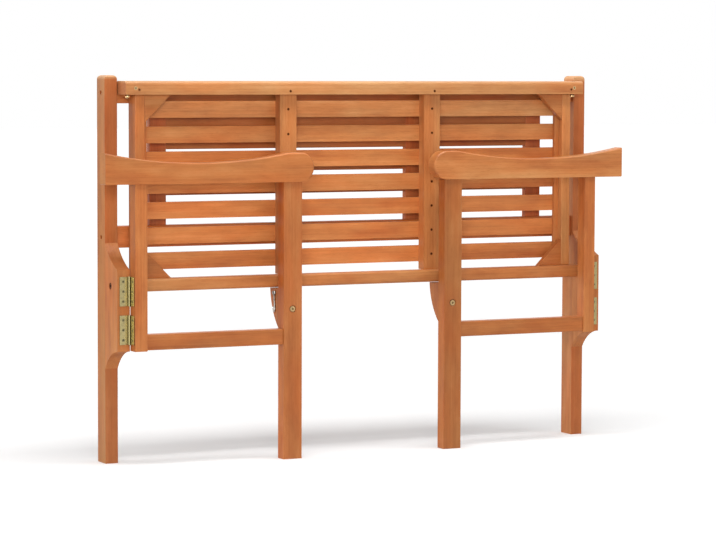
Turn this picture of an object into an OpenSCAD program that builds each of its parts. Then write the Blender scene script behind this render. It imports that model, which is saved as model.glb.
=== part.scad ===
// Folding garden bench of oiled hardwood, shown folded flat.
// The origin is on the floor, in the middle of the folded bench.
// X runs along the bench, +Y to the back, +Z up.

/* [Bench] */
// Width over the outside of the two rear posts
bench_w = 1200; // [1080:10:1400]
// Height of the rear posts
post_h = 841; // [790:1:900]
// Thickness of the posts, brackets and arm frames, along X
stock_t = 29; // [26:1:32]
// Depth of the rear posts, front to back
post_d = 45; // [42:1:55]
// Radius on the top corners of the posts
post_round = 9; // [3:1:12]
// Diameter of the recesses over the screws in the posts
recess_d = 9; // [6:0.5:12]

/* [Back] */
// Height of the top and bottom rails of the back
back_rail_h = 47; // [40:1:54]
// Thickness of the back rails, front to back
back_rail_t = 28; // [22:1:32]
// Distance from the post tops down to the top rail
top_drop = 13.5; // [8:0.5:30]
// Height of the underside of the bottom rail
bottom_rail_z = 468; // [460:1:480]
// Thickness of the back slats and uprights
back_slat_t = 15; // [12:1:18]
// Gap between the back slats
back_gap = 14.25; // [8:0.25:24]
// Width of the back uprights
upright_w = 39; // [30:1:44]
// Distance from a post to the middle of the nearest upright
upright_in = 100.5; // [70:0.5:160]

/* [Seat] */
// Distance from the post tops down to the folded seat
front_drop = 12; // [6:0.5:30]
// Height of the seat pivot
pivot_z = 389; // [380:1:400]
// Height of the pivot above the underside of the opened seat
pivot_drop = 15; // [14:0.5:18]
// Gap between the folded seat and the back
fold_gap = 2; // [1:0.5:4]
// Gap between the side rails of the seat and the posts
side_gap = 28.5; // [24:0.5:34]
// Thickness of the side rails, along X
side_rail_t = 22; // [18:1:26]
// Depth of the side rails, front to back as folded
side_rail_d = 40; // [36:1:44]
// Height of the front rail as folded
front_rail_w = 29.5; // [26:0.5:32]
// Depth of the front rail, front to back as folded
front_rail_d = 52; // [48:1:56]
// Radius of the large round on the front rail
front_round = 8; // [4:0.5:10]
// Height of the rear rail as folded
rear_rail_w = 28; // [24:1:28]
// Depth of the rear rail, front to back as folded
rear_rail_d = 29; // [26:1:30]
// Width of each seat slat
slat_w = 36.5; // [30:0.5:40]
// Thickness of each seat slat
slat_t = 15; // [12:1:20]
// Width of the two crossbars under the seat
crossbar_w = 40; // [30:1:48]
// Distance from mid-width to the middle of a crossbar
crossbar_x = 179.5; // [140:0.5:220]
// Leg of the triangular corner gussets
gusset_leg = 61; // [40:1:80]
// Width of the strips under the slat ends
ledge_w = 11; // [8:0.5:14]
// Thickness of the strips under the slat ends
ledge_t = 10; // [6:0.5:10]

/* [Arms] */
// How far the brackets stand out in front of the posts
bracket_out = 71; // [66:1:90]
// Height of the lower end of the flat face of a bracket
bracket_z0 = 250; // [240:1:260]
// Height of the upper end of the flat face of a bracket
bracket_z1 = 426; // [420:1:440]
// How far the lower hollow of a bracket runs down the post
hollow_low = 43; // [30:1:60]
// How far the upper hollow of a bracket runs up the post
hollow_up = 54; // [40:1:70]
// Radius of the lower hollow
low_r = 91; // [70:1:130]
// Radius of the upper hollow
up_r = 145; // [100:1:200]
// Height of the underside of the armrests
arm_z = 609.5; // [590:0.5:630]
// Lowest height of the dished armrest top above its underside
arm_dip = 44.5; // [36:0.5:52]
// Radius of the dish in the armrest top
dish_r = 1100; // [950:10:1400]
// Distance from the front of the leg back to the lowest point of the dish
dish_lead = 240; // [200:1:260]
// Radius of the half-round nose of the armrest
nose_r = 32; // [30:0.5:36]
// How far the nose reaches past the front of the leg
nose_over = 28; // [10:1:30]
// Thickness of the armrests, along X when opened
armrest_t = 33; // [30:1:40]
// Length of armrest behind the hinge axis
arm_back = 66; // [50:1:76]
// Width of the bevel along the upper edges of the armrests
bevel = 2.5; // [1:0.1:4]
// Width of the front legs
leg_w = 44; // [36:1:50]
// Width of the rear stile of each arm frame
stile_w = 28; // [22:1:34]
// Height of the underside of the lower rail of each arm frame
low_rail_z = 253.5; // [200:0.5:270]
// Height of the lower rail of each arm frame
low_rail_h = 34; // [28:1:40]
// How far the seat rests stand in from the legs
rest_out = 43; // [38:1:50]
// Height of the seat rests
rest_h = 86; // [80:1:100]
// Height of the bolts through the seat rests
bolt_z = 331; // [320:1:345]

/* [Hardware] */
// Length of each butt hinge
hinge_len = 63; // [50:1:70]
// Distance from the hinges to the ends of the bracket face
hinge_in = 15; // [8:0.5:18]
// Width of a hinge leaf, from the pin
leaf_w = 21.5; // [18:0.5:24]
// Thickness of a hinge leaf
leaf_t = 1.6; // [1.4:0.1:2]
// Diameter of the hinge knuckles
knuckle_d = 5.4; // [4.6:0.1:5.4]
// Head diameter of the hinge screws
leaf_screw_d = 6.4; // [5:0.1:7]
// Length of the hinge screws
leaf_screw_len = 13; // [10:0.5:18]
// Diameter of the seat pivot bolts
pivot_d = 8; // [6:0.5:10]
// Head diameter of the screws through the crossbars
slat_screw_d = 6; // [5:0.1:8]
// Head diameter of the screws in the ends of the front rail
end_screw_d = 8; // [6:0.1:9]
// Head diameter of the bolts in the front legs
bolt_head_d = 12.4; // [10:0.1:14]
// Neck diameter of the studs under the front rail
stud_d = 5; // [4:0.1:6]
// Head diameter of the studs under the front rail
stud_head_d = 13.4; // [10:0.1:15]
// Wire diameter of the gate hooks
wire_d = 3; // [2.4:0.1:3.4]
// Length of the gate hooks, from the middle of the eye
hook_len = 42; // [36:1:44]
// Height of the gate hook eyes
hook_z = 364; // [356:1:366]
// Distance from the arm frame back to the gate hook eyes
hook_in = 17; // [14:0.5:22]

/* [Hidden] */
$fn = 48;
eps = 0.01;
run_gap = 0.06;
half_w = bench_w / 2;
inner = half_w - stock_t;
leaf_gap = 2 * leaf_t;
hinge_off = leaf_t + leaf_gap / 2;
axis_set = 2.5;
pan_set = bracket_out + hinge_off - axis_set;
post_front = (pan_set + armrest_t - post_d) / 2;
post_back = post_front + post_d;
bracket_front = post_front - bracket_out;
back_mid = post_front + post_d / 2;
back_front = back_mid - back_rail_t / 2;
back_slat_y = back_mid - back_slat_t / 2;
top_z1 = post_h - top_drop;
top_rail_z = top_z1 - back_rail_h;
low_z1 = bottom_rail_z + back_rail_h;
n_back = 5;
back_slat_w = (top_rail_z - low_z1 - (n_back + 1) * back_gap) / n_back;
up_out = inner - upright_in;
up_x = [-up_out, -up_out / 3, up_out / 3, up_out];
seat_back = back_front - fold_gap;
side_front = seat_back - side_rail_d;
slat_front = seat_back - slat_t;
cross_t = slat_front - side_front;
front_face = seat_back - front_rail_d;
pivot_y = front_face + pivot_drop;
side_out = inner - side_gap;
side_in = side_out - side_rail_t;
rail_end = inner - 2;
rear_top = pivot_z + rear_rail_w / 2;
rear_round = rear_rail_w * 0.215;
seat_top = post_h - front_drop;
seat_reach = seat_top - pivot_z;
front_bot = seat_top - front_rail_w;
n_slat = 7;
// The slat gap is shared out so that the end gaps are a little smaller
slat_gap = (front_bot - rear_top - n_slat * slat_w) / (n_slat + 0.7);
slat_pitch = slat_w + slat_gap;
slat_top0 = front_bot - 0.77 * slat_gap;
slat_screw_len = cross_t + slat_t / 2;
rail_screw_len = front_rail_d * 0.7;
end_screw_x = side_out + end_screw_d * 0.4;
end_screw_z = front_bot + front_rail_w * 0.48;
gusset_y = side_front + 0.5;
gusset_t = cross_t - ledge_t - 1;
axis_x = -(inner + axis_set);
axis_y = bracket_front - hinge_off;
pan_x = axis_x + hinge_off;
pan_back = axis_y + axis_set;
pan_front = pan_back - stock_t;
arm_front = pan_back - armrest_t;
// The opened legs stand flush with the front of the seat
leg_x1 = axis_x + axis_y - pivot_y + seat_reach;
leg_x0 = leg_x1 - leg_w;
leg_mid = leg_x1 - leg_w / 2;
rest_top = pivot_z - pivot_drop - 0.4;
rest_back = pan_back + rest_out;
rest_rise = rest_h * 0.12;
rest_r = (pow(rest_h + rest_rise, 2) + pow(rest_out, 2)) / (2 * rest_out);
nose_x = leg_x1 + nose_over - nose_r;
arm_top = arm_z + 2 * nose_r;
arm_x0 = axis_x - arm_back;
dish_x = leg_x1 - dish_lead;
dish_z = arm_z + arm_dip;
dish_back_a = asin((dish_x - arm_x0) / dish_r);
dish_front_a = acos((dish_r - arm_top + dish_z) / dish_r);
hinge_z = [bracket_z0 + hinge_in, bracket_z1 - hinge_in - hinge_len];
knuckle_r = knuckle_d / 2;
pin_r = knuckle_r * 0.48;
knuckle_h = hinge_len / 3;
screw_set = leaf_w * 0.62;
bolt_r = bolt_head_d * 0.24;
hook_x = leg_x0;
hook_y = pan_back + hook_in;
wire_r = wire_d / 2;
curl_r = stud_d / 2 + wire_r;
curl_z = hook_len - curl_r - wire_r;
hook_lean = 4;
eye_r = wire_r * 3.1;
hook_screw_r = wire_r * 1.15;
stud_x = inner - 17;
stud_gap = wire_d + 0.3;
// With the seat and arm opened, the curl of a raised hook lies round the neck of its stud
stud_off = stud_x + axis_x - axis_y + hook_y;
stud_rise = sqrt(pow(curl_z, 2) + pow(curl_r, 2) - pow(stud_off, 2));
stud_y = pivot_y - pivot_z + hook_z + stud_rise;

// Block between two corners
module block(x0, x1, y0, y1, z0, z1) {
    translate([x0, y0, z0]) cube([x1 - x0, y1 - y0, z1 - z0]);
}

// Rod along X
module rod_x(x0, x1, y, z, r) {
    translate([x0, y, z]) rotate([0, 90, 0]) cylinder(h = x1 - x0, r = r);
}

// Rod along Y
module rod_y(x, y0, y1, z, r) {
    translate([x, y1, z]) rotate([90, 0, 0]) cylinder(h = y1 - y0, r = r);
}

// Rectangle with its two top corners rounded
module round_top(w, h, r) {
    translate([0, 0]) square([w, h - r]);
    translate([r, h - r]) circle(r = r);
    translate([w - r, h - r]) circle(r = r);
    translate([r, h - r - eps]) square([w - 2 * r, r + eps]);
}

// Flat outline in Y and Z, drawn as [y, z], stretched along X
module along_x(x0, x1) {
    translate([x0, 0, 0]) rotate([90, 0, 90]) linear_extrude(height = x1 - x0) children();
}

// Flat outline in X and Z, drawn as [x, z], stretched along Y
module along_y(y0, y1) {
    translate([0, y1, 0]) rotate([90, 0, 0]) linear_extrude(height = y1 - y0) children();
}

// Left-hand shape as it is, or its mirror for the right
module hand(s) {
    if (s < 0) children();
    else mirror([1, 0, 0]) children();
}

// Countersunk screw with a cross recess, head flush at the origin, driven down -Z
module screw(r, len) {
    difference() {
        union() {
            translate([0, 0, -r * 0.55]) cylinder(h = r * 0.55, r1 = r / 2, r2 = r);
            translate([0, 0, -len]) cylinder(h = len - r * 0.3, r = r / 2);
        }
        translate([-r * 0.6, -r * 0.14, -r * 0.3]) cube([r * 1.2, r * 0.28, r]);
        translate([-r * 0.14, -r * 0.6, -r * 0.3]) cube([r * 0.28, r * 1.2, r]);
    }
}

// Hole that takes the screw above
module screw_hole(r, len) {
    translate([0, 0, -r * 0.55 - 0.02])
        cylinder(h = r * 0.55 + 0.04, r1 = r / 2 + 0.03, r2 = r + 0.05);
    translate([0, 0, -len - 0.2]) cylinder(h = len, r = r / 2 + 0.03);
}

// Middle of the circle of radius r that hollows a corner w deep and h high
function hollow_y(w, h, r) = -w / 2 - h * sqrt(r * r / (w * w + h * h) - 0.25);
function hollow_z(w, h, r) = h / 2 + w * sqrt(r * r / (w * w + h * h) - 0.25);

// Turns a screw so that it is driven towards +Y from the front
module drive_y(x, y, z) {
    translate([x, y, z]) rotate([90, 0, 0]) children();
}

// Turns a screw so that it is driven towards +X
module drive_x(x, y, z) {
    translate([x, y, z]) rotate([0, -90, 0]) children();
}

// Back frame

module post(s) {
    color("peru") hand(s) difference() {
        intersection() {
            translate([-half_w, 0, 0]) along_y(post_front, post_back)
                round_top(stock_t, post_h, post_round);
            along_x(-half_w, -inner) translate([post_front, 0])
                round_top(post_d, post_h, post_round * 0.55);
        }
        // Recesses over the screws that hold the back rails
        for (z = [bottom_rail_z + back_rail_h / 2, top_rail_z + back_rail_h / 2])
            rod_x(-half_w - 1, -half_w + recess_d / 2, back_mid, z, recess_d / 2);
    }
}

// Bracket with hollowed shoulders, on the front of a post
module bracket(s) {
    color("peru") hand(s) difference() {
        along_x(-half_w, -inner) difference() {
            translate([bracket_front, bracket_z0 - hollow_low])
                square([bracket_out, bracket_z1 + hollow_up - bracket_z0 + hollow_low]);
            translate([post_front + hollow_y(bracket_out, hollow_up, up_r),
                bracket_z1 + hollow_z(bracket_out, hollow_up, up_r)]) circle(r = up_r, $fn = 180);
            translate([post_front + hollow_y(bracket_out, hollow_low, low_r),
                bracket_z0 - hollow_z(bracket_out, hollow_low, low_r)]) circle(r = low_r, $fn = 180);
        }
        rod_x(-half_w - 1, -inner + 1, pivot_y, pivot_z, pivot_d / 2 + 0.02);
        rod_x(-half_w - 1, -half_w + pivot_d * 0.56, pivot_y, pivot_z, pivot_d * 0.94);
        for (z = hinge_z)
            leaf_holes(z) drive_y(axis_x - screw_set, bracket_front - leaf_t, 0)
                screw_hole(leaf_screw_d / 2, leaf_screw_len);
    }
}

module back_top_rail() {
    color("sienna") block(-inner, inner, back_front, back_front + back_rail_t, top_rail_z, top_z1);
}

module back_bottom_rail() {
    color("sienna") block(-inner, inner, back_front, back_front + back_rail_t, bottom_rail_z, low_z1);
}

// Underside of back slat i, counted from the top
function back_slat_z(i) = top_rail_z - i * (back_slat_w + back_gap);

// Upright i, halved behind where the back slats cross the two inner ones
module upright(i) {
    color("sienna") difference() {
        block(up_x[i] - upright_w / 2, up_x[i] + upright_w / 2,
            back_slat_y, back_slat_y + back_slat_t, low_z1, top_rail_z);
        if (i == 1 || i == 2)
            for (k = [1:n_back])
                block(up_x[i] - upright_w, up_x[i] + upright_w, back_mid, post_back,
                    back_slat_z(k), back_slat_z(k) + back_slat_w);
    }
}

// Back slat k, halved in front where the two inner uprights cross it
module back_slat(k) {
    color("sienna") difference() {
        block(up_x[0] + upright_w / 2, up_x[3] - upright_w / 2,
            back_slat_y, back_slat_y + back_slat_t, back_slat_z(k), back_slat_z(k) + back_slat_w);
        for (i = [1, 2])
            block(up_x[i] - upright_w / 2, up_x[i] + upright_w / 2,
                back_slat_y - 5, back_mid, back_slat_z(k) - 5, back_slat_z(k) + back_slat_w + 5);
    }
}

// Three screws up one hinge leaf
module leaf_holes(z) {
    for (f = [0.16, 0.5, 0.84]) translate([0, 0, z + f * hinge_len]) children();
}

// Two fixed leaves of one arm, each with its outer knuckles
module fixed_leaves(s) {
    color("goldenrod") hand(s) for (z = hinge_z) difference() {
        union() {
            block(axis_x - leaf_w, axis_x, bracket_front - leaf_t, bracket_front, z, z + hinge_len);
            translate([axis_x, axis_y, z]) cylinder(h = hinge_len, r = knuckle_r);
        }
        translate([axis_x, axis_y, z - 1]) cylinder(h = hinge_len + 2, r = pin_r + 0.02);
        translate([axis_x, axis_y, z + knuckle_h - 0.3])
            cylinder(h = knuckle_h + 0.6, r = knuckle_r + 0.6);
        leaf_holes(z) drive_y(axis_x - screw_set, bracket_front - leaf_t, 0)
            screw_hole(leaf_screw_d / 2, leaf_screw_len);
    }
}

// Pins with low button heads
module hinge_pins(s) {
    head = pin_r * 0.9;
    color("darkgoldenrod") hand(s) for (z = hinge_z) translate([axis_x, axis_y, z]) {
        cylinder(h = hinge_len, r = pin_r);
        translate([0, 0, hinge_len - eps]) cylinder(h = head, r1 = pin_r * 1.75, r2 = pin_r * 1.15);
        translate([0, 0, eps - head]) cylinder(h = head, r1 = pin_r * 1.15, r2 = pin_r * 1.75);
    }
}

module fixed_leaf_screws() {
    color("gold") for (s = [-1, 1]) hand(s) for (z = hinge_z)
        leaf_holes(z) drive_y(axis_x - screw_set, bracket_front - leaf_t, 0)
            screw(leaf_screw_d / 2, leaf_screw_len);
}

// Seat pivot bolts, with their heads sunk in the outside of the brackets
module pivot_bolts() {
    color("goldenrod") for (s = [-1, 1]) hand(s) difference() {
        union() {
            rod_x(-half_w + pivot_d * 0.15, -half_w + pivot_d * 0.56, pivot_y, pivot_z, pivot_d * 0.9);
            rod_x(-half_w + pivot_d * 0.25, -rail_end + pivot_d * 5, pivot_y, pivot_z, pivot_d / 2);
        }
        translate([-half_w, pivot_y, pivot_z]) rotate([0, 90, 0])
            cylinder(h = pivot_d * 0.45, r = pivot_d * 0.36, $fn = 6);
    }
}

// Seat, folded up against the back with its underside to the front

module side_rail(s) {
    color("peru") hand(s) block(-side_out, -side_in, side_front, seat_back, rear_top, front_bot);
}

// Front rail with a large round on the two edges that face up as folded
module front_rail() {
    r1 = front_round;
    r2 = front_round * 0.6;
    color("peru") difference() {
        along_x(-rail_end, rail_end) translate([front_face, front_bot]) {
            square([front_rail_d, front_rail_w - r1]);
            translate([r1, front_rail_w - r1]) circle(r = r1);
            translate([front_rail_d - r2, front_rail_w - r2]) circle(r = r2);
            translate([r1, front_rail_w - r1 - 2]) square([front_rail_d - r1 - r2, r1 + 2]);
            translate([front_rail_d - r1, front_rail_w - r1 - 2]) square([r1, r1 + 2 - r2]);
        }
        for (s = [-1, 1]) {
            drive_y(s * crossbar_x, front_face, front_bot + front_rail_w / 4)
                screw_hole(slat_screw_d / 2, rail_screw_len);
            drive_y(s * end_screw_x, front_face, end_screw_z)
                screw_hole(end_screw_d / 2, rail_screw_len);
            // Open pilot hole beside each end screw
            rod_y(s * (end_screw_x - end_screw_d), front_face - 1, front_face + end_screw_d,
                end_screw_z - end_screw_d * 0.45, end_screw_d / 3);
            translate([s * stud_x, stud_y, front_bot - 1])
                cylinder(h = front_rail_w / 2 + 1, r = stud_d / 2 + 0.03);
        }
    }
}

// Rear rail between the brackets, bored at both ends for the pivot bolts
module rear_rail() {
    r = rear_round;
    color("peru") difference() {
        along_x(-rail_end, rail_end) translate([pivot_y - rear_rail_d / 2, rear_top - rear_rail_w]) {
            translate([0, r]) square([rear_rail_d, rear_rail_w - 2 * r]);
            translate([r, 0]) square([rear_rail_d - 2 * r, rear_rail_w]);
            for (y = [r, rear_rail_d - r], z = [r, rear_rail_w - r])
                translate([y, z]) circle(r = r);
        }
        for (s = [-1, 1]) hand(s)
            rod_x(-rail_end - 1, -rail_end + pivot_d * 5.2, pivot_y, pivot_z, pivot_d / 2 + run_gap);
    }
}

// Height of the bottom of seat slat i, counted from the front rail
function slat_z(i) = slat_top0 - slat_w - (i - 1) * slat_pitch;

module crossbar(s) {
    color("peru") difference() {
        block(s * crossbar_x - crossbar_w / 2, s * crossbar_x + crossbar_w / 2,
            side_front, slat_front, rear_top, front_bot);
        for (i = [1:n_slat])
            drive_y(s * crossbar_x, side_front, slat_z(i) + slat_w / 2)
                screw_hole(slat_screw_d / 2, slat_screw_len);
    }
}

module seat_slat(i) {
    color("sandybrown") difference() {
        block(-side_in, side_in, slat_front, seat_back, slat_z(i), slat_z(i) + slat_w);
        for (s = [-1, 1])
            drive_y(s * crossbar_x, side_front, slat_z(i) + slat_w / 2)
                screw_hole(slat_screw_d / 2, slat_screw_len);
    }
}

// Triangle in a corner of the seat frame, with its long edge to the middle
module gusset(s, z, up) {
    color("chocolate") hand(s) along_y(gusset_y, gusset_y + gusset_t)
        polygon([[-side_in, z], [-side_in, z + up * gusset_leg], [-side_in + gusset_leg, z]]);
}

module front_gussets() {
    gusset(-1, front_bot, -1);
    gusset(1, front_bot, -1);
}

module rear_gussets() {
    gusset(-1, rear_top, 1);
    gusset(1, rear_top, 1);
}

// Strips on the side rails that carry the slat ends
module slat_ledges() {
    color("chocolate") for (s = [-1, 1]) hand(s)
        block(-side_in, -side_in + ledge_w, slat_front - ledge_t, slat_front, rear_top, front_bot);
}

// Screws through the crossbars into the slats and the front rail
module slat_screws() {
    color("gray") for (s = [-1, 1]) {
        for (i = [1:n_slat])
            drive_y(s * crossbar_x, side_front, slat_z(i) + slat_w / 2)
                screw(slat_screw_d / 2, slat_screw_len);
        drive_y(s * crossbar_x, front_face, front_bot + front_rail_w / 4)
            screw(slat_screw_d / 2, rail_screw_len);
    }
}

// Bright screws in the ends of the front rail
module end_screws() {
    color("gold") for (s = [-1, 1])
        drive_y(s * end_screw_x, front_face, end_screw_z) screw(end_screw_d / 2, rail_screw_len);
}

// Round-headed studs behind the ends of the front rail
module catch_studs() {
    r = stud_head_d / 2;
    color("gold") for (s = [-1, 1]) translate([s * stud_x, stud_y, front_bot]) {
        translate([0, 0, -stud_gap - 1]) cylinder(h = stud_gap + front_rail_w / 2, r = stud_d / 2);
        intersection() {
            translate([0, 0, -stud_gap - r * 0.72]) cylinder(h = r * 0.72, r = r);
            translate([0, 0, r * 0.63 - stud_gap]) sphere(r = r * 1.4);
        }
    }
}

// Left arm frame, folded across the front

// Outline of the armrest, drawn as [x, z]
module arm_outline() {
    r = bevel;
    difference() {
        union() {
            translate([arm_x0 + r, arm_z]) square([nose_x - arm_x0 - r, 2 * nose_r]);
            translate([arm_x0, arm_z + r]) square([dish_x - arm_x0, 2 * nose_r + r]);
            translate([arm_x0 + r, arm_z + r]) circle(r = r);
            translate([nose_x, arm_z + nose_r]) circle(r = nose_r, $fn = 96);
        }
        intersection() {
            translate([dish_x, dish_z + dish_r]) circle(r = dish_r, $fn = 720);
            translate([arm_x0 - 1, dish_z - 1]) square([nose_x - arm_x0 + 1, 2 * nose_r]);
        }
    }
}

// Cutter that bevels a curved edge of radius r round [x, z] by w, over angle a from a0.
// The wood lies inside the curve for side 1 and outside it for side -1.
module bevel_arc(x, z, r, a0, a, side, face, w) {
    c = w + 1;
    translate([x, 0, z]) rotate([90, 0, 0]) rotate([0, 0, a0]) rotate_extrude(angle = a, $fn = 360)
        polygon([[r - side * c, face], [r + side, face], [r + side, -face * c]]);
}

// Bevels along the top of the armrest, cut from a face at y = 0 that looks to -Y or +Y.
// The one round the nose is a hair narrower, so that it crosses the flat one cleanly.
module top_bevels(face) {
    c = bevel + 1;
    bevel_arc(dish_x, dish_z + dish_r, dish_r, 269.7 - dish_back_a, dish_back_a + dish_front_a + 0.3,
        -1, face, bevel);
    bevel_arc(nose_x, arm_z + nose_r, nose_r, -50, 150, 1, face, bevel - 0.05);
    along_x(dish_x + dish_r * sin(dish_front_a) - 1, nose_x + 2 * bevel)
        polygon([[-face, arm_top + 1], [face * c, arm_top + 1], [-face, arm_top - c]]);
}

module armrest(s) {
    color("peru") hand(s) difference() {
        along_y(arm_front, pan_back) arm_outline();
        translate([0, arm_front, 0]) top_bevels(1);
        translate([0, pan_back, 0]) top_bevels(-1);
    }
}

module stile(s) {
    color("peru") hand(s) difference() {
        block(pan_x, pan_x + stile_w, pan_front, pan_back, low_rail_z - 2, arm_z);
        for (z = hinge_z) leaf_holes(z)
            drive_x(pan_x - leaf_t, axis_y - screw_set, 0)
                screw_hole(leaf_screw_d / 2, leaf_screw_len);
    }
}

module lower_rail(s) {
    color("peru") hand(s)
        block(pan_x + stile_w, leg_x0, pan_front + 2, pan_back - 2, low_rail_z,
            low_rail_z + low_rail_h);
}

module front_leg(s) {
    color("peru") hand(s) difference() {
        block(leg_x0, leg_x1, pan_front, pan_back, 0, arm_z);
        rod_y(leg_mid, pan_front - 1, pan_back + 1, bolt_z, bolt_r + 0.03);
        rod_y(leg_mid, pan_front - 1, pan_front + bolt_head_d * 0.3, bolt_z, bolt_head_d * 0.64);
    }
}

// Rest that the seat lands on when opened, cut away to a curve below
module seat_rest(s) {
    color("peru") hand(s) difference() {
        along_x(leg_x0, leg_x1) intersection() {
            translate([pan_back, rest_top - rest_h]) square([rest_out, rest_h]);
            translate([rest_back - rest_r, rest_top + rest_rise]) circle(r = rest_r, $fn = 180);
        }
        rod_y(leg_mid, pan_back - 1, rest_back - rest_out * 0.3, bolt_z, bolt_r + 0.03);
        rod_x(leg_x0 - 1, leg_x0 + leg_w * 0.4, hook_y, hook_z, hook_screw_r + 0.03);
    }
}

// Bolt through the leg into the rest, with a sunk round head and a hex socket
module rest_bolt(s) {
    color("gold") hand(s) difference() {
        union() {
            rod_y(leg_mid, pan_front + bolt_head_d * 0.08, pan_front + bolt_head_d * 0.3, bolt_z,
                bolt_head_d / 2);
            rod_y(leg_mid, pan_front + bolt_head_d * 0.2, rest_back - rest_out * 0.35, bolt_z, bolt_r);
        }
        translate([leg_mid, pan_front + bolt_head_d * 0.22, bolt_z]) rotate([90, 0, 0])
            cylinder(h = bolt_head_d * 0.3, r = bolt_head_d * 0.22, $fn = 6);
    }
}

// Two moving leaves of one arm, each with its middle knuckle
module moving_leaves(s) {
    color("goldenrod") hand(s) for (z = hinge_z) difference() {
        union() {
            block(pan_x - leaf_t, pan_x, axis_y - leaf_w, axis_y, z, z + hinge_len);
            translate([axis_x, axis_y, z + knuckle_h]) cylinder(h = knuckle_h, r = knuckle_r);
        }
        translate([axis_x, axis_y, z - 1]) cylinder(h = hinge_len + 2, r = pin_r + run_gap);
        for (k = [-0.3, 2 * knuckle_h])
            translate([axis_x, axis_y, z + k]) cylinder(h = knuckle_h + 0.3, r = knuckle_r + 0.6);
        leaf_holes(z) drive_x(pan_x - leaf_t, axis_y - screw_set, 0)
            screw_hole(leaf_screw_d / 2, leaf_screw_len);
    }
}

module moving_leaf_screws(s) {
    color("gold") hand(s) for (z = hinge_z) leaf_holes(z)
        drive_x(pan_x - leaf_t, axis_y - screw_set, 0) screw(leaf_screw_d / 2, leaf_screw_len);
}

// Screw that a gate hook turns on
module hook_screw(s) {
    w = wire_r;
    color("silver") hand(s) difference() {
        union() {
            rod_x(hook_x - w * 2.9, hook_x + leg_w * 0.36, hook_y, hook_z, hook_screw_r);
            rod_x(hook_x - w * 3.6, hook_x - w * 2.55, hook_y, hook_z, w * 2.3);
        }
        block(hook_x - w * 4, hook_x - w * 3.2, hook_y - w / 3, hook_y + w / 3, hook_z - w * 3,
            hook_z + w * 3);
    }
}

// Gate hook hanging by its eye, its tip turned away from the leg
module gate_hook(s) {
    color("silver") hand(s) translate([hook_x - wire_r - 0.4, hook_y, hook_z])
        rotate([-hook_lean, 0, 0]) difference() {
            union() {
                rod_x(-wire_r, wire_r, 0, 0, eye_r);
                translate([0, 0, -curl_z]) cylinder(h = curl_z - eye_r * 0.75, r = wire_r);
                translate([0, curl_r, -curl_z]) rotate([90, 0, 90]) rotate([0, 0, 180])
                    rotate_extrude(angle = 180) translate([curl_r, 0]) circle(r = wire_r);
                translate([0, 2 * curl_r, -curl_z]) cylinder(h = wire_r * 3.3, r = wire_r);
                translate([0, 2 * curl_r, wire_r * 3.3 - curl_z]) sphere(r = wire_r);
            }
            rod_x(-wire_r * 2, wire_r * 2, 0, 0, hook_screw_r + run_gap);
        }
}

post(-1);  // post_left
post(1);  // post_right
bracket(-1);  // bracket_left
bracket(1);  // bracket_right
back_top_rail();
back_bottom_rail();
upright(0);  // upright_1
upright(1);  // upright_2
upright(2);  // upright_3
upright(3);  // upright_4
back_slat(1);  // back_slat_1
back_slat(2);  // back_slat_2
back_slat(3);  // back_slat_3
back_slat(4);  // back_slat_4
back_slat(5);  // back_slat_5
fixed_leaves(-1);  // fixed_leaves_left
fixed_leaves(1);  // fixed_leaves_right
hinge_pins(-1);  // hinge_pins_left
hinge_pins(1);  // hinge_pins_right
fixed_leaf_screws();
pivot_bolts();
side_rail(-1);  // side_rail_left
side_rail(1);  // side_rail_right
front_rail();
rear_rail();
crossbar(-1);  // crossbar_left
crossbar(1);  // crossbar_right
seat_slat(1);  // seat_slat_1
seat_slat(2);  // seat_slat_2
seat_slat(3);  // seat_slat_3
seat_slat(4);  // seat_slat_4
seat_slat(5);  // seat_slat_5
seat_slat(6);  // seat_slat_6
seat_slat(7);  // seat_slat_7
front_gussets();
rear_gussets();
slat_ledges();
slat_screws();
end_screws();
catch_studs();
armrest(-1);  // armrest_left
stile(-1);  // stile_left
lower_rail(-1);  // lower_rail_left
front_leg(-1);  // front_leg_left
seat_rest(-1);  // seat_rest_left
rest_bolt(-1);  // rest_bolt_left
moving_leaves(-1);  // moving_leaves_left
moving_leaf_screws(-1);  // moving_leaf_screws_left
hook_screw(-1);  // hook_screw_left
armrest(1);  // armrest_right
stile(1);  // stile_right
lower_rail(1);  // lower_rail_right
front_leg(1);  // front_leg_right
seat_rest(1);  // seat_rest_right
rest_bolt(1);  // rest_bolt_right
moving_leaves(1);  // moving_leaves_right
moving_leaf_screws(1);  // moving_leaf_screws_right
hook_screw(1);  // hook_screw_right
gate_hook(-1);  // gate_hook_left
gate_hook(1);  // gate_hook_right
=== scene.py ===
"""Folding garden bench of oiled hardwood, folded flat.

Units are metres, in the model's frame: X along the bench, +Y to the back, Z up.
"""

import math

import bpy
from mathutils import Matrix, Vector

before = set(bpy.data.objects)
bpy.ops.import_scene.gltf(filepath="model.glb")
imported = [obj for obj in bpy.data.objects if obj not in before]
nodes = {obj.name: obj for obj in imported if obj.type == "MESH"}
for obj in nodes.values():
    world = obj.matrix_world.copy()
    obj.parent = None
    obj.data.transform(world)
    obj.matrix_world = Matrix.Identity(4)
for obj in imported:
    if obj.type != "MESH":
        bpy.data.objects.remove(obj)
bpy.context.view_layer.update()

# Camera, placed as the photograph's was
CAM_AT = Vector((-2.8424, -5.6874, 0.8636))
CAM_YAW = math.radians(26.517)
CAM_PITCH = math.radians(-4.115)
CAM_ROLL = math.radians(0.198)
CAM_LENS = 142.87
CAM_SENSOR = 36
CAM_FAR = 100

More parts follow.
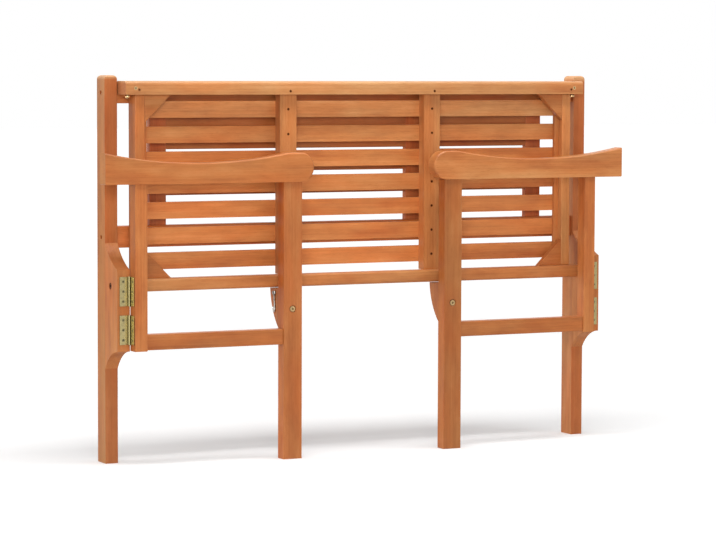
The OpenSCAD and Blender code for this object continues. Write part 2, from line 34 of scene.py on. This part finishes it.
# Linear colours of the wood and the metals
WOOD_DARK = (0.34, 0.093, 0.026)
WOOD_MID = (0.52, 0.177, 0.050)
WOOD_LIGHT = (0.66, 0.268, 0.092)
WOOD_PORE = (0.60, 0.46, 0.36)
WOOD_END = (0.40, 0.130, 0.038)
# Painted highlight: the paler colour painted on the tops of some boards
WOOD_TOP_HIGHLIGHT = (0.62, 0.36, 0.17)
BRASS = (0.64, 0.54, 0.26)
GOLDEN = (0.80, 0.54, 0.26)
BRONZE = (0.17, 0.05, 0.017)
DULL_BRASS = (0.30, 0.27, 0.15)
STEEL = (0.66, 0.64, 0.60)
BLACK = (0.0, 0.0, 0.0)
WHITE = (1.0, 1.0, 1.0)

# Noises of the wood: stretch along the grain and across it, scale, detail and roughness
BROAD = (1.1, 16.0, 1.6, 2.0, 0.5)
MOTTLE = (13.0, 42.0, 1.2, 2.0, 0.5)
PATCHES = (4.0, 17.0, 1.4, 2.0, 0.5)
STREAKS = (1.9, 90.0, 1.3, 4.0, 0.62)
FIBRE = (9.0, 720.0, 1.2, 3.0, 0.6)
PORES = (55.0, 1500.0, 1.2, 1.0, 0.5)

# Shares of the rings and the noises in the figure
RING_SHARE = 0.02
BROAD_SHARE = 0.38
MOTTLE_SHARE = 0.24
STREAK_SHARE = 0.15
FIBRE_SHARE = 0.19

# Levels of the figure at which the wood is dark, middling and light
DARK_AT = 0.32
MID_AT = 0.51
LIGHT_AT = 0.72

# Warmer and cooler patches: level of their noise, and colour factors there
WARM_PATCH = (0.36, (1.02, 0.93, 0.87))
COOL_PATCH = (0.64, (0.98, 1.06, 1.12))

# Growth rings, how much they are drawn out along the grain, and how far off their heart is
RINGS = {"Scale": 44.0, "Distortion": 2.2, "Detail": 2.0, "Detail_Scale": 0.9}
RING_DRAW = 0.05
HEART_OUT = 0.12
HEART_OUT_SPREAD = 0.05
HEART_ASIDE = 0.07

# Steps and spread by which the boards' places in the noise differ
NOISE_STEP = 1.9
NOISE_SPREAD = 2.701

# Levels of the noise at which a pore begins and is full, and how much pores darken
PORE_FROM = 0.60
PORE_FULL = 0.70
PORE_DEPTH = 0.4

# How squarely sawn ends face along their axis, and the faces along X that get painted light and shade,
# where they begin and are full
END_FACING = (0.75, 0.95)
SHADED_SIDE_FACING = (0.6, 0.8)

# How much of the ends' own colour shows, and how much the rings show in it
END_DEPTH = 0.55
END_RINGS = 0.5

# How strong the painted highlight on a board's top is, and the height over which it sets in
TOP_HIGHLIGHT_DEPTH = 0.75
TOP_HIGHLIGHT_FADE = 0.006

# Oil finish: its roughness, what streaks and sawn ends add to that, and its specular level
OIL_ROUGH = 0.23
STREAK_ROUGH = 0.22
END_ROUGH = 0.2
OIL_SPECULAR = 0.24

# Relief of fibres and pores: share of each, then strength and distance of the bump
FIBRE_RELIEF = 0.5
PORE_RELIEF = 0.5
WOOD_BUMP = (0.22, 0.0004)

# A board that has no tone of its own below is lighter or darker by up to this
TONE_SPREAD = 0.04

# The boards differ by sines of their numbers, which turn by these angles from board to board
NOISE_TURN = 3.1
HEART_OUT_TURN = 2.3
HEART_ASIDE_TURN = 1.7
TONE_TURN = 5.7
TONE_START = 0.4

# Wear of the metals: scale and detail of its noise, and the levels where it begins and is full
WEAR = (140.0, 4.0)
WEAR_FROM = 0.45
WEAR_FULL = 0.75

# How much the wear shows, how bright dulled metal and the painted shade in its recesses are, and what
# wear adds to roughness
WEAR_DEPTH = 0.8
DULLED = 0.62
RECESS_SHADE = 0.12
WEAR_ROUGH = 0.2

# Painted shade in recesses: their size, how sharply it sets in, and the samples it takes
RECESS_REACH = 0.004
RECESS_POWER = 2.5
RECESS_SAMPLES = 8

# Brushing of the metals: its detail, then strength and distance of the bump
BRUSHED_DETAIL = 2.0
METAL_BUMP = (0.12, 0.0002)

# Arris radius of each kind of wood piece, smallest where the hinged pieces meet
ROUND_HINGED = 0.0004
ROUND_ARM = 0.0016
ROUND_FRAME = 0.0018
ROUND_SLAT = 0.0018
ROUND_SMALL = 0.0010

# Arrises sharper than this are eased, in so many steps
EASE_ANGLE = math.radians(40)
EASE_STEPS = 3

# Triangles that differ by less than this lie in one flat face
FLAT_ANGLE = math.radians(0.5)

# The hooks' wire is this much thicker all round than its solid
HOOK_PLUMP = 0.0005

# Corners closer than this are joined before a mesh is shaped
MERGE = 0.00001

# Strength of the world as light, and as the camera and reflections see it
WORLD_LIGHT = 0.31
WORLD_SEEN = 1.0

# The floor, and how much it glows for the camera at each distance from the bench
FLOOR_SIZE = 60
FLOOR_COLOUR = (0.74, 0.74, 0.74)
FLOOR_ROUGH = 0.9
FLOOR_GLOW = {0: 0.16, 1: 0.32, 2: 0.50, 4: 0.68, 8: 0.78}

# Lamps: where each stands, what it aims at, its width and height, and its power
LAMPS = {
    "key": ((-2.5, -4.9, 1.7), (0, 0, 0.6), (2.2, 1.8), 121),
    "left": ((-4.2, 1.9, 1.7), (0, 0, 0.5), (2.0, 2.4), 70),
    "side": ((-4.6, -1.6, 1.2), (0, 0, 0.5), (1.4, 1.8), 13),
    "fill": ((4.4, -3.0, 1.5), (0, 0, 0.55), (2.0, 2.0), 13),
    "top": ((0, -0.7, 2.7), (0, 0, 0.6), (3.0, 0.6), 60),
}

# Metals: colour, roughness, and scale of the brushing
METALS = {
    "brass": (BRASS, 0.15, 900.0),
    "golden_brass": (GOLDEN, 0.16, 900.0),
    "bronzed_steel": (BRONZE, 0.32, 700.0),
    "dull_brass": (DULL_BRASS, 0.30, 700.0),
    "plated_steel": (STEEL, 0.16, 700.0),
}

# Grain axis and arris radius of each wood piece
PIECES = {}
for side in ("left", "right"):
    PIECES["post_" + side] = (2, ROUND_FRAME)
    PIECES["bracket_" + side] = (2, ROUND_HINGED)
    PIECES["side_rail_" + side] = (2, ROUND_SLAT)
    PIECES["crossbar_" + side] = (2, ROUND_SLAT)
    PIECES["armrest_" + side] = (0, ROUND_ARM)
    PIECES["stile_" + side] = (2, ROUND_HINGED)
    PIECES["lower_rail_" + side] = (0, ROUND_FRAME)
    PIECES["front_leg_" + side] = (2, ROUND_FRAME)
    PIECES["seat_rest_" + side] = (2, ROUND_SLAT)
for name in ("back_top_rail", "back_bottom_rail", "front_rail", "rear_rail"):
    PIECES[name] = (0, ROUND_SLAT)
for number in range(1, 5):
    PIECES["upright_%d" % number] = (2, ROUND_SMALL)
for number in range(1, 6):
    PIECES["back_slat_%d" % number] = (0, ROUND_SMALL)
for number in range(1, 8):
    PIECES["seat_slat_%d" % number] = (0, ROUND_SLAT)
PIECES["front_gussets"] = (0, ROUND_SMALL)
PIECES["rear_gussets"] = (0, ROUND_SMALL)
PIECES["slat_ledges"] = (2, ROUND_SMALL)

# Boards of another hue than the rest, partly by their own colour and partly by painted light and shade
PALE = (0.97, 1.20, 1.45)
TAN = (0.99, 1.10, 1.20)
RED = (1.02, 0.94, 0.93)
DEEP = (1.00, 0.87, 0.87)
WARM = (1.10, 0.87, 0.93)
HUES_AND_SHADING = {
    "armrest_right": TAN,
    "crossbar_left": TAN,
    "crossbar_right": TAN,
    "front_leg_left": RED,
    "front_rail": PALE,
    "post_left": DEEP,
    "post_right": DEEP,
    "rear_rail": TAN,
    "seat_slat_1": PALE,
    "seat_slat_2": TAN,
    "side_rail_right": (0.99, 1.17, 1.32),
}
for name in PIECES:
    if name.startswith("back_"):
        HUES_AND_SHADING[name] = RED
    elif name.startswith("upright"):
        HUES_AND_SHADING[name] = WARM

# Painted light and shade on the faces along X: factors that make them lighter or darker than the
# fronts
PAINTED_SIDE_SHADING = {
    "armrest_left": (0.97, 1.12, 1.18),
    "bracket_left": (1.10, 1.09, 0.90),
    "front_leg_left": (1.18, 1.10, 0.82),
    "front_leg_right": (1.16, 1.05, 0.83),
    "front_rail": (0.90, 0.82, 0.90),
    "post_left": (1.05, 1.28, 1.05),
    "post_right": (1.18, 1.50, 1.75),
    "stile_left": (0.80, 0.74, 0.70),
}

# Heights above which a board's top is painted paler, as a painted highlight
TOP_HIGHLIGHT_FROM = {"front_rail": 0.8235, "post_left": 0.833, "post_right": 0.827}

# Boards lighter or darker than the rest, by their own colour and by painted light and shade (seat
# slats lighter, posts and legs darker)
TONES_AND_SHADING = {
    "armrest_left": 0.94,
    "armrest_right": 1.03,
    "back_bottom_rail": 1.15,
    "back_top_rail": 1.15,
    "bracket_left": 0.94,
    "bracket_right": 1.01,
    "crossbar_left": 1.02,
    "crossbar_right": 1.05,
    "front_gussets": 0.91,
    "front_leg_left": 0.83,
    "front_leg_right": 0.77,
    "front_rail": 1.03,
    "lower_rail_left": 0.89,
    "lower_rail_right": 0.90,
    "post_left": 0.80,
    "post_right": 0.88,
    "rear_gussets": 0.99,
    "rear_rail": 1.07,
    "seat_rest_left": 0.85,
    "seat_rest_right": 0.82,
    "seat_slat_1": 1.35,
    "seat_slat_2": 1.21,
    "seat_slat_3": 1.13,
    "seat_slat_4": 1.00,
    "seat_slat_5": 1.11,
    "seat_slat_6": 1.16,
    "seat_slat_7": 1.21,
    "side_rail_right": 1.18,
    "stile_left": 1.05,
    "stile_right": 1.01,
    "upright_1": 0.92,
    "upright_4": 1.06,
}


class Shader:
    """A material's node tree, with short ways to add nodes and links."""

    def __init__(self, name):
        self.material = bpy.data.materials.new(name)
        self.material.use_nodes = True
        self.tree = self.material.node_tree
        self.surface = self.tree.nodes["Principled BSDF"]

    def node(self, kind, **values):
        """Adds a node. Each value is the node's own property, or else one of its inputs."""
        made = self.tree.nodes.new(kind)
        for key, value in values.items():
            if hasattr(made, key):
                setattr(made, key, value)
            else:
                made.inputs[key.replace("_", " ")].default_value = value
        return made

    def link(self, source, target):
        self.tree.links.new(source, target)

    def place(self, kind):
        """The texture coordinate of that kind."""
        return self.node("ShaderNodeTexCoord").outputs[kind]

    def noise(self, vector, scale, detail, rough=0.5):
        made = self.node("ShaderNodeTexNoise", Scale=scale, Detail=detail, Roughness=rough)
        self.link(vector, made.inputs["Vector"])
        return made.outputs[0]

    def math(self, operation, first, second=None):
        """Works on one or two values, each a number or an output of another node."""
        made = self.node("ShaderNodeMath", operation=operation)
        for socket, value in zip(made.inputs, (first, second)):
            if isinstance(value, (int, float)):
                socket.default_value = value
            elif value is not None:
                self.link(value, socket)
        return made.outputs[0]

    def scaled(self, source, factor, plus):
        """The source times a factor, plus a number or another output."""
        return self.math("ADD", self.math("MULTIPLY", source, factor), plus)

    def ramp(self, factor, *stops):
        """Colour ramp through (place, colour) stops."""
        made = self.node("ShaderNodeValToRGB")
        band = made.color_ramp.elements
        while len(band) < len(stops):
            band.new(0.5)
        for element, (place, colour) in zip(band, stops):
            element.position = place
            element.color = (*colour, 1)
        self.link(factor, made.inputs[0])
        return made.outputs[0]

    def mix(self, factor, first, second, blend="MIX"):
        """Mixes two colours.

        The node takes its factor at input 0 and its colours at 6 and 7, and gives its own at output 2.
        """
        made = self.node("ShaderNodeMix", data_type="RGBA", blend_type=blend)
        for index, value in ((0, factor), (6, first), (7, second)):
            socket = made.inputs[index]
            if isinstance(value, (int, float)):
                socket.default_value = value
            elif isinstance(value, tuple):
                socket.default_value = (*value, 1)
            else:
                self.link(value, socket)
        return made.outputs[2]

    def relief(self, height, strength, distance):
        """Bumps the surface by the height."""
        bump = self.node("ShaderNodeBump", Strength=strength, Distance=distance)
        self.link(height, bump.inputs["Height"])
        self.link(bump.outputs[0], self.surface.inputs["Normal"])


class Board(Shader):
    """Wood with its grain along the axis 0, 1 or 2, cut from the noise where the seed says."""

    def __init__(self, name, grain, seed):
        super().__init__("wood_" + name)
        self.grain = grain
        self.seed = seed
        self.at = self.place("Object")
        parts = self.node("ShaderNodeSeparateXYZ")
        self.link(self.place("Normal"), parts.inputs[0])
        self.normal = parts.outputs

    def mapped(self, location, scale):
        """The piece's own coordinates, moved and stretched."""
        made = self.node("ShaderNodeMapping")
        made.inputs["Location"].default_value = location
        made.inputs["Scale"].default_value = scale
        self.link(self.at, made.inputs[0])
        return made.outputs[0]

    def layer(self, along, across, scale, detail, rough):
        """Noise drawn out along the grain."""
        location = [
            NOISE_SPREAD * math.sin(NOISE_TURN * self.seed + axis) + NOISE_STEP * self.seed
            for axis in range(3)
        ]
        stretch = [across] * 3
        stretch[self.grain] = along
        return self.noise(self.mapped(location, stretch), scale, detail, rough)

    def rings(self):
        """Growth rings round a heart that lies outside the piece."""
        first, second = (axis for axis in range(3) if axis != self.grain)
        heart = [0.0, 0.0, 0.0]
        heart[first] = HEART_OUT + HEART_OUT_SPREAD * math.sin(HEART_OUT_TURN * self.seed)
        heart[second] = HEART_ASIDE * math.cos(HEART_ASIDE_TURN * self.seed)
        stretch = [1.0, 1.0, 1.0]
        stretch[self.grain] = RING_DRAW
        axis = "XYZ"[self.grain]
        made = self.node("ShaderNodeTexWave", wave_type="RINGS", rings_direction=axis, **RINGS)
        self.link(self.mapped(heart, stretch), made.inputs["Vector"])
        return made.outputs["Fac"]

    def facing(self, axis, begin, full):
        """White where the surface faces squarely along the axis, and black elsewhere."""
        squareness = self.math("ABSOLUTE", self.normal[axis])
        return self.ramp(squareness, (begin, BLACK), (full, WHITE))

    def above(self, height):
        """White above the height, and black below it."""
        parts = self.node("ShaderNodeSeparateXYZ")
        self.link(self.at, parts.inputs[0])
        return self.ramp(parts.outputs[2], (height, BLACK), (height + TOP_HIGHLIGHT_FADE, WHITE))


def wood(name, grain, seed, tone_and_shade, side_shading, highlight_from):
    """Oiled hardwood of one board.

    Its first factors multiply its red, green and blue, as the board's own colour and as painted light
    and shade, and its second factors do so again on the faces along X, as painted light and shade.
    Above the given height the top is painted paler, as a painted highlight.
    """
    board = Board(name, grain, seed)
    rings = board.rings()
    streaks = board.layer(*STREAKS)
    fibre = board.layer(*FIBRE)
    pores = board.layer(*PORES)

    figure = board.math("MULTIPLY", rings, RING_SHARE)
    figure = board.scaled(board.layer(*BROAD), BROAD_SHARE, figure)
    figure = board.scaled(board.layer(*MOTTLE), MOTTLE_SHARE, figure)
    figure = board.scaled(streaks, STREAK_SHARE, figure)
    figure = board.scaled(fibre, FIBRE_SHARE, figure)
    dark, mid, light = (
        tuple(t * c for t, c in zip(tone_and_shade, shade)) for shade in (WOOD_DARK, WOOD_MID, WOOD_LIGHT)
    )
    colour = board.ramp(figure, (DARK_AT, dark), (MID_AT, mid), (LIGHT_AT, light))
    warmth = board.ramp(board.layer(*PATCHES), WARM_PATCH, COOL_PATCH)
    colour = board.mix(1.0, colour, warmth, "MULTIPLY")
    flecks = board.ramp(pores, (PORE_FROM, WHITE), (PORE_FULL, WOOD_PORE))
    colour = board.mix(PORE_DEPTH, colour, flecks, "MULTIPLY")

    # Sawn ends are darker and show the rings, not the fibres
    end = board.facing(grain, *END_FACING)
    end_colour = board.mix(board.math("MULTIPLY", rings, END_RINGS), mid, WOOD_END)
    colour = board.mix(board.math("MULTIPLY", end, END_DEPTH), colour, end_colour)

    # Painted light and shade: faces along X are painted lighter or darker than the front
    side_shade_factor = board.mix(board.facing(0, *SHADED_SIDE_FACING), WHITE, side_shading)
    colour = board.mix(1.0, colour, side_shade_factor, "MULTIPLY")
    # Painted highlight: the top above the given height is painted paler
    if highlight_from:
        top_highlight = board.math("MULTIPLY", board.above(highlight_from), TOP_HIGHLIGHT_DEPTH)
        colour = board.mix(top_highlight, colour, WOOD_TOP_HIGHLIGHT)
    board.link(colour, board.surface.inputs["Base Color"])

    gloss = board.scaled(streaks, STREAK_ROUGH, OIL_ROUGH)
    board.link(board.scaled(end, END_ROUGH, gloss), board.surface.inputs["Roughness"])
    ridges = board.math("MULTIPLY", fibre, FIBRE_RELIEF)
    grooves = board.math("MULTIPLY", pores, PORE_RELIEF)
    board.relief(board.math("SUBTRACT", ridges, grooves), *WOOD_BUMP)
    board.surface.inputs["Specular IOR Level"].default_value = OIL_SPECULAR
    return board.material


def metal(name, colour, rough, brushed):
    """Metal, a little worn in its gloss and dulled in its colour, with painted shade in its recesses.
    """
    shader = Shader(name)
    at = shader.place("Object")
    cloud = shader.noise(at, *WEAR)
    wear = shader.ramp(cloud, (WEAR_FROM, BLACK), (WEAR_FULL, [WEAR_DEPTH] * 3))
    worn = shader.mix(wear, colour, tuple(DULLED * c for c in colour))
    # Painted shade: the metal darkens in its recesses by ambient occlusion
    recess = shader.node("ShaderNodeAmbientOcclusion", samples=RECESS_SAMPLES, Distance=RECESS_REACH)
    unshaded = shader.math("POWER", recess.outputs["AO"], RECESS_POWER)
    shade = shader.mix(unshaded, tuple(RECESS_SHADE * c for c in colour), worn)
    shader.link(shade, shader.surface.inputs["Base Color"])
    shader.link(shader.scaled(cloud, WEAR_ROUGH, rough), shader.surface.inputs["Roughness"])
    shader.relief(shader.noise(at, brushed, BRUSHED_DETAIL), *METAL_BUMP)
    shader.surface.inputs["Metallic"].default_value = 1.0
    return shader.material


def dress(node, material, radius=0.0, plump=0.0):
    """Gives a CAD node its material, eases its arrises to the radius and thickens it by plump."""
    piece = nodes[node]
    piece.data.materials.clear()
    piece.data.materials.append(material)
    if radius or plump:
        with bpy.context.temp_override(object=piece, active_object=piece):
            bpy.ops.mesh.customdata_custom_splitnormals_clear()
        for face in piece.data.polygons:
            face.use_smooth = True
        weld = piece.modifiers.new("weld", "WELD")
        weld.merge_threshold = MERGE
    if plump:
        thicker = piece.modifiers.new("thicker", "DISPLACE")
        thicker.mid_level = 0
        thicker.strength = plump
    if radius:
        flat = piece.modifiers.new("flat", "DECIMATE")
        flat.decimate_type = "DISSOLVE"
        flat.angle_limit = FLAT_ANGLE
        ease = piece.modifiers.new("ease", "BEVEL")
        ease.width = radius
        ease.segments = EASE_STEPS
        ease.limit_method = "ANGLE"
        ease.angle_limit = EASE_ANGLE
        ease.harden_normals = True
        ease.use_clamp_overlap = True


def dress_boards():
    """Each wood piece is a board of its own, so no two show the same figure."""
    for order, (name, (grain, radius)) in enumerate(sorted(PIECES.items())):
        # A board's colour factors also carry painted light and shade where they are listed above
        tone_and_shade = TONES_AND_SHADING.get(name, 1 + TONE_SPREAD * math.sin(TONE_TURN * order + TONE_START))
        colours = [tone_and_shade * factor for factor in HUES_AND_SHADING.get(name, WHITE)]
        side_shading = PAINTED_SIDE_SHADING.get(name, WHITE)
        material = wood(name, grain, order + 1, colours, side_shading, TOP_HIGHLIGHT_FROM.get(name))
        dress(name, material, radius)


def metal_of(name):
    """Name of the metal that a fitting is made of."""
    if "hook" in name:
        return "plated_steel"
    if name in ("end_screws", "catch_studs") or "rest_bolt" in name:
        return "golden_brass"
    if "leaf_screws" in name:
        return "dull_brass"
    if "screws" in name or name == "pivot_bolts":
        return "bronzed_steel"
    return "brass"


def dress_fittings():
    """Every piece that isn't of wood is of metal."""
    metals = {name: metal(name, *finish) for name, finish in METALS.items()}
    for name in nodes:
        if name not in PIECES:
            plump = HOOK_PLUMP if name.startswith("gate_hook") else 0
            dress(name, metals[metal_of(name)], plump=plump)


def area_light(name, at, aim, size, power):
    """Adds a rectangular lamp that faces its aim."""
    lamp = bpy.data.lights.new(name, "AREA")
    lamp.shape = "RECTANGLE"
    lamp.size, lamp.size_y = size
    lamp.energy = power
    holder = bpy.data.objects.new(name, lamp)
    holder.location = at
    holder.rotation_euler = (Vector(aim) - Vector(at)).to_track_quat("-Z", "Y").to_euler()
    bpy.context.scene.collection.objects.link(holder)


def make_world():
    """Even light from all sides, which the camera and reflections see as white."""
    world = bpy.data.worlds.new("studio")
    bpy.context.scene.world = world
    world.use_nodes = True
    sky = world.node_tree
    back = sky.nodes["Background"]
    back.inputs["Color"].default_value = (*WHITE, 1)
    ray = sky.nodes.new("ShaderNodeLightPath")
    seen = sky.nodes.new("ShaderNodeMath")
    seen.operation = "MAXIMUM"
    sky.links.new(ray.outputs["Is Camera Ray"], seen.inputs[0])
    sky.links.new(ray.outputs["Is Glossy Ray"], seen.inputs[1])
    level = sky.nodes.new("ShaderNodeMapRange")
    level.inputs["To Min"].default_value = WORLD_LIGHT
    level.inputs["To Max"].default_value = WORLD_SEEN
    sky.links.new(seen.outputs[0], level.inputs["Value"])
    sky.links.new(level.outputs[0], back.inputs["Strength"])


def make_floor():
    """Pale floor that reads white and keeps the bench's shadow."""
    bpy.ops.mesh.primitive_plane_add(size=FLOOR_SIZE, location=(0, 0, 0))
    floor = bpy.context.object
    floor.name = "floor"
    ground = Shader("floor")
    ground.surface.inputs["Base Color"].default_value = (*FLOOR_COLOUR, 1)
    ground.surface.inputs["Roughness"].default_value = FLOOR_ROUGH
    ground.surface.inputs["Emission Color"].default_value = (*WHITE, 1)
    away = ground.node("ShaderNodeVectorMath", operation="LENGTH")
    ground.link(ground.place("Object"), away.inputs[0])
    reach = max(FLOOR_GLOW)
    glow = ground.ramp(
        ground.math("MULTIPLY", away.outputs["Value"], 1 / reach),
        *((distance / reach, [level] * 3) for distance, level in FLOOR_GLOW.items()),
    )
    ray = ground.node("ShaderNodeLightPath")
    seen = ground.math("MULTIPLY", ray.outputs["Is Camera Ray"], glow)
    ground.link(seen, ground.surface.inputs["Emission Strength"])
    floor.data.materials.append(ground.material)


def make_camera():
    """Looks along the yaw and pitch, and is turned about its own axis by the roll."""
    forward = Vector(
        (
            math.sin(CAM_YAW) * math.cos(CAM_PITCH),
            math.cos(CAM_YAW) * math.cos(CAM_PITCH),
            math.sin(CAM_PITCH),
        )
    )
    right = Vector((math.cos(CAM_YAW), -math.sin(CAM_YAW), 0))
    up = right.cross(forward)
    tilt_right = math.cos(CAM_ROLL) * right + math.sin(CAM_ROLL) * up
    tilt_up = math.cos(CAM_ROLL) * up - math.sin(CAM_ROLL) * right
    turn = Matrix((tilt_right, tilt_up, -forward)).transposed().to_4x4()
    camera = bpy.data.objects.new("camera", bpy.data.cameras.new("camera"))
    camera.data.lens = CAM_LENS
    camera.data.sensor_width = CAM_SENSOR
    camera.data.clip_end = CAM_FAR
    camera.matrix_world = Matrix.Translation(CAM_AT) @ turn
    bpy.context.scene.collection.objects.link(camera)
    bpy.context.scene.camera = camera


dress_boards()
dress_fittings()
for name, settings in LAMPS.items():
    area_light(name, *settings)
make_world()
make_floor()
make_camera()
bpy.context.scene.view_settings.view_transform = "Standard"
